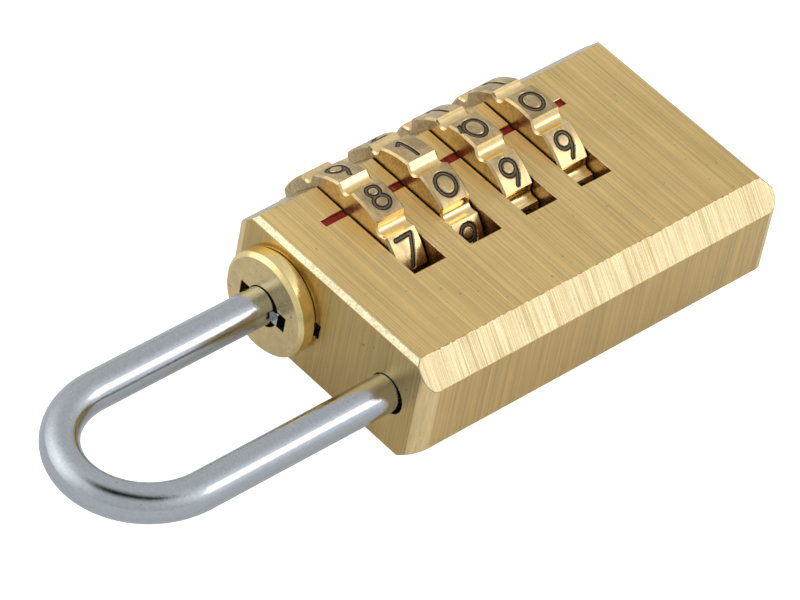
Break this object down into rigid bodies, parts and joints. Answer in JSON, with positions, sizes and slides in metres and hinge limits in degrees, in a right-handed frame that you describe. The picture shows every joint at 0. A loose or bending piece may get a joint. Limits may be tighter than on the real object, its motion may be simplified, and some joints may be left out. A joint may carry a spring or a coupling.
{
  "type": "combination padlock",
  "caption": "Slim brass combination padlock with side dials that ride on one leg of a chromed round-bar shackle and its flanged collar.",
  "frame": {"origin": "centre of the plain end face of the body, the end away from the shackle", "axes": "+X across the width, away from the dials; +Y along the length, out of the plain end face, so the shackle is at -Y; +Z out of the front face, where the code is read"},
  "size_m": [0.0216, 0.0575, 0.0131],
  "materials": {
    "body_brass": "brushed solid brass",
    "collar_brass": "fine-turned brass",
    "dial_brass": "machined brass with dark-filled engraved digits",
    "sleeve_brass": "machined brass",
    "shackle_chrome": "polished chrome plate over hardened steel",
    "spring_steel": "oiled spring steel",
    "zinc_steel": "zinc-plated steel"
  },
  "bodies": {
    "case": {"body": "body_brass", "collar": "collar_brass", "collar_key": "zinc_steel", "collar_pin": "zinc_steel", "return_spring": "spring_steel", "detent_spring_1": "spring_steel", "detent_spring_2": "spring_steel", "detent_spring_3": "spring_steel", "detent_spring_4": "spring_steel"},
    "shackle": {"shackle": "shackle_chrome", "shackle_stop_ring": "spring_steel"},
    "dial_1": {"dial_1": "dial_brass"},
    "dial_2": {"dial_2": "dial_brass"},
    "dial_3": {"dial_3": "dial_brass"},
    "dial_4": {"dial_4": "dial_brass"},
    "sleeve_1": {"clutch_sleeve_1": "sleeve_brass"},
    "sleeve_2": {"clutch_sleeve_2": "sleeve_brass"},
    "sleeve_3": {"clutch_sleeve_3": "sleeve_brass"},
    "sleeve_4": {"clutch_sleeve_4": "sleeve_brass"},
    "spring_seat": {"spring_seat": "zinc_steel"}
  },
  "joints": [
    {"name": "shackle_lift", "type": "slide", "parent": "case", "child": "shackle", "axis": [0, -1, 0], "range_m": [0, 0.00525]},
    {"name": "dial_1_turn", "type": "hinge", "parent": "case", "child": "dial_1", "pos_m": [-0.00505, -0.02656, -0.00015], "axis": [0, 1, 0], "continuous": true},
    {"name": "dial_2_turn", "type": "hinge", "parent": "case", "child": "dial_2", "pos_m": [-0.00505, -0.02131, -0.00015], "axis": [0, 1, 0], "continuous": true},
    {"name": "dial_3_turn", "type": "hinge", "parent": "case", "child": "dial_3", "pos_m": [-0.00505, -0.01606, -0.00015], "axis": [0, 1, 0], "continuous": true},
    {"name": "dial_4_turn", "type": "hinge", "parent": "case", "child": "dial_4", "pos_m": [-0.00505, -0.01081, -0.00015], "axis": [0, 1, 0], "continuous": true},
    {"name": "reset_slide", "type": "slide", "parent": "case", "child": "spring_seat", "axis": [0, -1, 0], "range_m": [-0.0009, 0], "stiffness_N_per_m": 300, "springref_m": 0.004, "deforming": ["return_spring"]},
    {"name": "sleeve_1_slide", "type": "slide", "parent": "dial_1", "child": "sleeve_1", "axis": [0, -1, 0], "range_m": [-0.0009, 0]},
    {"name": "sleeve_2_slide", "type": "slide", "parent": "dial_2", "child": "sleeve_2", "axis": [0, -1, 0], "range_m": [-0.0009, 0]},
    {"name": "sleeve_3_slide", "type": "slide", "parent": "dial_3", "child": "sleeve_3", "axis": [0, -1, 0], "range_m": [-0.0009, 0]},
    {"name": "sleeve_4_slide", "type": "slide", "parent": "dial_4", "child": "sleeve_4", "axis": [0, -1, 0], "range_m": [-0.0009, 0]}
  ],
  "couplings": [
    {"joint": "sleeve_1_slide", "follows": "reset_slide", "ratio": 1},
    {"joint": "sleeve_2_slide", "follows": "reset_slide", "ratio": 1},
    {"joint": "sleeve_3_slide", "follows": "reset_slide", "ratio": 1},
    {"joint": "sleeve_4_slide", "follows": "reset_slide", "ratio": 1}
  ]
}
